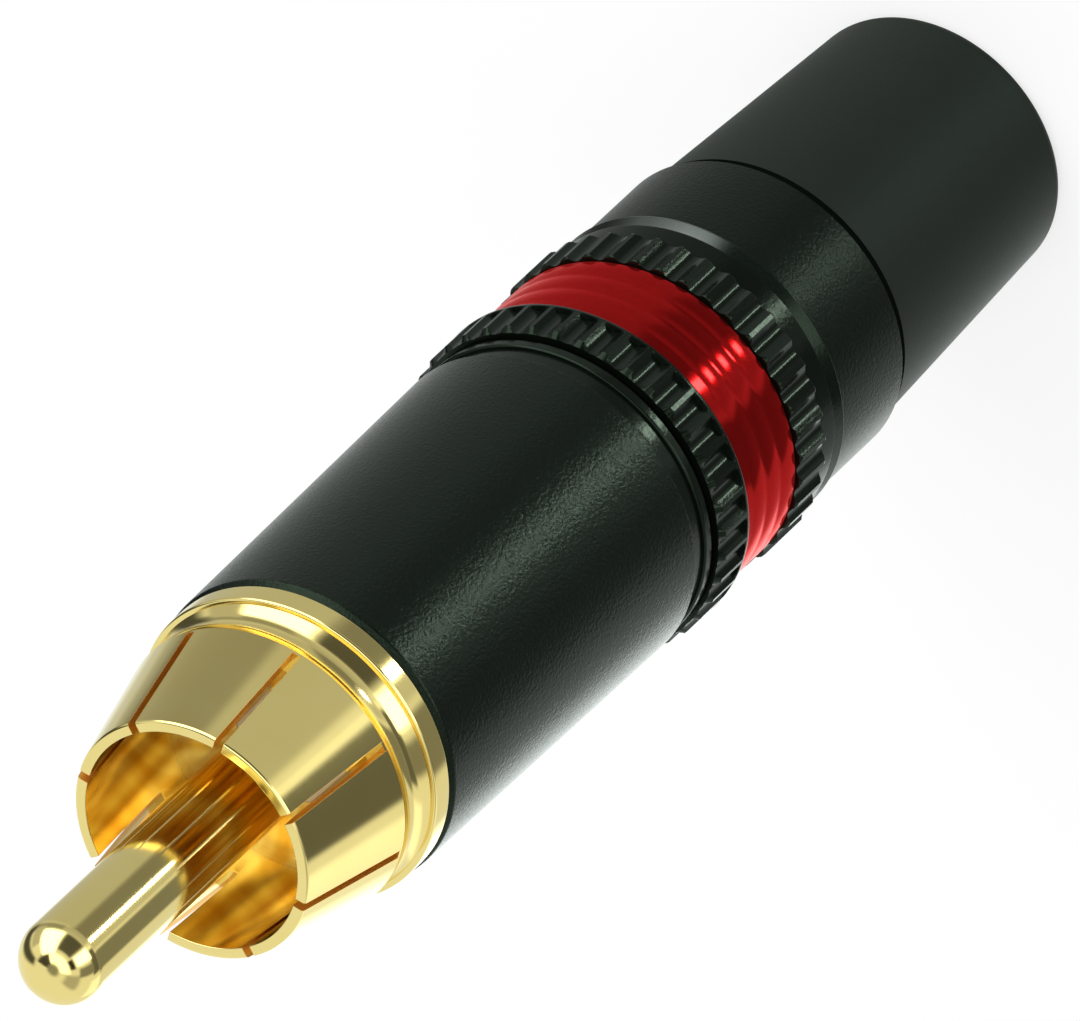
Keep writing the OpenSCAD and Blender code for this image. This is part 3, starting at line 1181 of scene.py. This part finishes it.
@dataclass
class Boot(SubAssembly):
    """The tapered boot with the cable's inlet."""

    front: float = 12.14
    front_r: float = 5.84
    rear_r: float = 5.25
    rounding: float = 0.55
    inlet: float = 3.2
    mouth: float = 0.5
    spigot_r: float = 5.23
    spigot: float = 15.3
    edge: float = 0.1
    steps: int = 240

    def corners(self) -> list[Corner]:
        """Draw the boot's whole section, from its rear face round the outside and back through the inlet.

        Returns:
            Its corners in order.
        """
        edge = self.edge
        return [
            Corner(self.inlet + self.mouth, 0, edge), Corner(self.rear_r, 0, self.rounding),
            Corner(self.front_r, self.front), Corner(self.spigot_r, self.front),
            Corner(self.spigot_r, self.spigot, edge), Corner(self.inlet, self.spigot),
            Corner(self.inlet, self.mouth, edge),
        ]

    def build(self) -> bpy.types.Object:
        """Turn the boot."""
        return Bench.turned("boot_black", self.corners(), self.steps)


@dataclass
class ScrewThread(SubAssembly):
    """A right-hand thread that winds round a core or lines a bore.

    Attributes:
        name: Name of the piece.
        root: Radius of the surface that it stands on.
        crest: Radius of its crest.
        start: Height of its first turn.
        base: Width of the ridge at its root.
        top: Width of the ridge at its crest.
        pitch: Lead of one turn.
        turns: Number of turns.
        broach: Width of the way cut through it, or 0.
        steps: Number of steps in one turn.
        sink: How far its root is sunk into what carries it.
    """

    name: str = "thread"
    root: float = 4.9
    crest: float = 5.12
    start: float = 24.2
    base: float = 0.4
    top: float = 0.08
    pitch: float = 0.75
    turns: int = 7
    broach: float = 0.0
    steps: int = 72
    sink: float = 0.03

    def corners(self) -> list[Corner]:
        """Draw the ridge's section, with its root sunk a little into what carries it.

        Returns:
            Its corners in order.
        """
        foot = self.root + math.copysign(self.sink, self.root - self.crest)
        half, tip, z = self.base / 2, self.top / 2, self.start
        return [
            Corner(foot, z - half), Corner(self.crest, z - tip), Corner(self.crest, z + tip), Corner(foot, z + half),
        ]

    def build(self) -> bpy.types.Object:
        """Wind the ridge, close its ends, and cut it where a key passes.

        Returns:
            The piece, in mm.
        """
        piece = Bench.section(self.name, self.corners())
        Bench.only(piece)
        bpy.ops.object.modifier_add(type="SCREW")
        screw = piece.modifiers[-1]
        screw.steps = screw.render_steps = self.steps
        screw.screw_offset, screw.iterations = self.pitch, self.turns
        bpy.ops.object.modifier_apply(modifier=screw.name)
        with Bench.editing(piece):
            bpy.ops.mesh.fill_holes(sides=0)
            bpy.ops.mesh.select_all(action="SELECT")
            bpy.ops.mesh.normals_make_consistent(inside=False)
        if self.broach:
            reach, high = 2 * self.root, self.start + self.pitch * (self.turns + 1)
            low = Vector((-reach, -self.broach / 2, self.start - self.pitch))
            Bench.cut(piece, [Bench.block("thread_broach", low, Vector((reach, self.broach / 2, high)))])
        return piece


@dataclass(frozen=True)
class Panel:
    """A patch of the studio, by its angles round the plug.

    Attributes:
        turn: From where to where round the axis, in degrees from the camera's side.
        rise: From where to where above the plug's middle, in degrees.
        level: Its brightness, where 1 is white.
        soft: Width of its soft edge in degrees.
    """

    turn: Span
    rise: Span
    level: float
    soft: float = 8.0


@dataclass(frozen=True)
class Studio:
    """Pale walls round the plug, with softboxes in front of them and dark flags between.

    The plug lay on its side for the photograph and stands here, so what was the table then is a wall now.

    Attributes:
        wall: Brightness of the walls, where 1 is white.
        tint: Colour of the studio's light.
        floor_size: Radius of the floor in metres.
        floor_glow: What the floor shows of its own, where no light falls on it.
        floor_tone: Share of the light that it adds to that.
        softboxes: Bright patches, each over the ones before it and over the flags.
        flags: Dark patches in front of the walls.
    """

    wall: float = 0.95
    tint: Colour = (0.94, 1.0, 0.97)
    floor_size: float = 1.6
    floor_glow: float = 0.71
    floor_tone: float = 0.3
    softboxes: tuple[Panel, ...] = (
        Panel((-60, 62), (48, 73), 2.2, 10),
        Panel((42, 90), (-14, 50), 3.0),
        Panel((-40, -13), (-17, 28), 3.0, 6),
        Panel((-21.5, -15.5), (-34, -15), 1.2, 3),
        Panel((-32, -3), (-58, -34), 0.62, 10),
        Panel((-13, -5.5), (-49, -40.5), 22.0, 3),
        Panel((-182, -134), (-66, -34), 2.2, 20),
        Panel((-128, -90), (-32, -9), 1.35, 8),
    )
    flags: tuple[Panel, ...] = (
        Panel((-181, 181), (76, 95), 0.3, 12),
        Panel((-181, 181), (-95, -71), 0.06, 10),
        Panel((-110, -66), (22, 58), 0.5, 14),
        Panel((-134, -80), (-66, -34), 0.85, 12),
        Panel((-86, -38), (-64, -32), 0.24),
        Panel((-78, -23), (-33, -13), 0.14, 6),
        Panel((-72, -48), (-15, 24), 0.25),
        Panel((-46, -14), (32, 54), 0.015),
        Panel((-8, 38), (-15, 36), 0.1, 10),
        Panel((-8, 62), (-34, -17), 0.55),
        Panel((54, 126), (-34, -17), 0.32, 10),
        Panel((-8, 46), (-66, -34), 0.24, 16),
        Panel((40, 156), (-66, -34), 0.54, 20),
        Panel((91, 113), (-24, 20), 0.55, 6),
        Panel((62, 122), (50, 78), 0.06, 10),
        Panel((118, 140), (-34, 44), 0.08, 12),
    )

    def light(self) -> None:
        """Wire the world: the studio for what the plug mirrors, plain white for what the camera sees."""
        world = bpy.data.worlds.new("studio")
        bpy.context.scene.world = world
        world.use_nodes = True
        graph = Graph(world.node_tree)
        x, y, z = graph.axes(graph.node("ShaderNodeTexCoord", out="Generated"))
        turn, rise = x.angle(0 - y), z.arcsine()
        light = 0 * z + self.wall
        for panel in (*self.flags, *self.softboxes):
            mask = turn.within(panel.turn, panel.soft) * rise.within(panel.rise, panel.soft)
            light = light + (panel.level - light) * mask
        path = graph.node("ShaderNodeLightPath", out="Is Camera Ray")
        seen = path.most(path.other("Is Transmission Ray"))
        shine = graph.node("ShaderNodeBackground", None, {"Color": (*self.tint, 1.0), "Strength": light})
        plain = graph.node("ShaderNodeBackground", None, {"Color": WHITE, "Strength": 1.0})
        graph.node("ShaderNodeOutputWorld", None, {"Surface": graph.blend(seen, shine, plain)})

    def floor(self) -> None:
        """Lay a white floor that keeps a faint shadow and can be looked through from below."""
        bpy.ops.object.select_all(action="DESELECT")
        bpy.ops.mesh.primitive_circle_add(vertices=96, radius=self.floor_size, fill_type="NGON")
        floor = bpy.context.object
        floor.name = "floor"
        paper = bpy.data.materials.new("floor_paper")
        paper.use_nodes = True
        graph = Graph(paper.node_tree)
        glow = graph.node("ShaderNodeEmission", None, {"Color": WHITE, "Strength": self.floor_glow})
        grey = [self.floor_tone / part for part in self.tint]
        matt = graph.node("ShaderNodeBsdfDiffuse", None, {"Color": (*grey, 1.0)})
        lit = graph.node("ShaderNodeAddShader", None, {0: glow, 1: matt})
        under = graph.node("ShaderNodeNewGeometry", out="Backfacing")
        through = graph.node("ShaderNodeBsdfTransparent")
        graph.node("ShaderNodeOutputMaterial", None, {"Surface": graph.blend(under, lit, through)})
        floor.data.materials.append(paper)
        floor.visible_glossy = floor.visible_diffuse = False
        floor.visible_transmission = floor.visible_shadow = False


@dataclass(frozen=True)
class PhotoCamera:
    """The camera of the photograph, found from the ellipses of the turned edges.

    Attributes:
        tilt: Angle between the plug's axis and the line of sight, in degrees.
        swing: Direction of the axis in the picture, in degrees from the right, clockwise.
        station: Height on the plug's axis that is known in the picture, in mm.
        spot: Its pixel.
        depth: Its distance along the line of sight, in mm.
        focal: Focal length in pixels.
        image: Size of the picture in pixels.
        sensor: Width of the sensor in mm.
        clip: Nearest and farthest distance that it shows, in metres.
    """

    tilt: float = 45.234
    swing: float = 136.852
    station: float = 43.1
    spot: Span = (302.35, 736.28)
    depth: float = 1037.48
    focal: float = 30000.0
    image: tuple[int, int] = (1080, 1021)
    sensor: float = 36.0
    clip: Span = (0.05, 10.0)

    def _station(self) -> Vector:
        """Return the known station as the camera sees it: right, down and away, in mm."""
        shift = [(spot - size / 2) * self.depth / self.focal for spot, size in zip(self.spot, self.image)]
        return Vector((*shift, self.depth))

    def _frame(self) -> Matrix:
        """Find how the plug is turned before the camera.

        Returns:
            The rotation from the plug's frame to right, down and away.
        """
        tilt, swing = math.radians(self.tilt), math.radians(self.swing)
        axis = Vector((math.sin(tilt) * math.cos(swing), math.sin(tilt) * math.sin(swing), -math.cos(tilt)))
        back = -self._station().normalized()
        near = (back - axis * back.dot(axis)).normalized()
        return Matrix((axis.cross(near), -near, axis)).transposed()

    def axes(self) -> tuple[Vector, Vector, Vector]:
        """Return the camera's right, up and back in the plug's frame."""
        rows = self._frame()
        return Vector(rows[0]), -Vector(rows[1]), -Vector(rows[2])

    def place(self) -> None:
        """Put the camera in the scene and make it the scene's own."""
        data = bpy.data.cameras.new("photo_camera")
        data.lens = self.focal / self.image[0] * self.sensor
        data.sensor_width = self.sensor
        data.clip_start, data.clip_end = self.clip
        camera = bpy.data.objects.new("photo_camera", data)
        bpy.context.scene.collection.objects.link(camera)
        turn = self._frame()
        eye = turn.transposed() @ (turn @ Vector((0, 0, self.station)) - self._station())
        camera.matrix_world = Matrix.Translation(eye * MM) @ Matrix(self.axes()).transposed().to_4x4()
        bpy.context.scene.camera = camera


INNER: dict[str, Finish] = {
    "pin_insulator": IVORY,
    "ground_tag": GOLD,
    "insulating_tube": CLEAR,
    "cable_chuck": IVORY,
}


def pieces() -> list[SubAssembly]:
    """List the plug's sub-assemblies, from the tip to the boot.

    Returns:
        The sub-assemblies, in the order in which they are built.
    """
    return [
        CentrePin("centre_pin", Body.FRONT, GOLD),
        OuterContact("outer_contact", Body.FRONT, GOLD),
        FrontHousing("front_housing", Body.FRONT, BLACK),
        ScrewThread(
            "", Body.FRONT, BLACK, name="housing_thread", root=5.2, crest=5.05, start=24.575, base=0.3, broach=1.8
        ),
        CodingRing("coding_ring", Body.REAR, RED),
        ClampNut("clamp_nut", Body.REAR, BLACK),
        ScrewThread("", Body.REAR, BLACK, name="nut_thread"),
        Boot("boot", Body.REAR, BOOT),
    ]


def main() -> None:
    """Set the camera and the studio, build and dress the plug, and note its size."""
    logging.basicConfig(level=logging.INFO, format="%(name)s: %(message)s")
    camera = PhotoCamera()
    camera.place()
    studio = Studio()
    studio.light()
    studio.floor()
    for part in pieces():
        part.make()
    for node, finish in INNER.items():
        finish.dress(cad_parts[node])
        log.info("%s: dressed in %s", node, finish.slot)
    bpy.context.scene.view_settings.view_transform = "Standard"


if __name__ == "__main__":
    main()
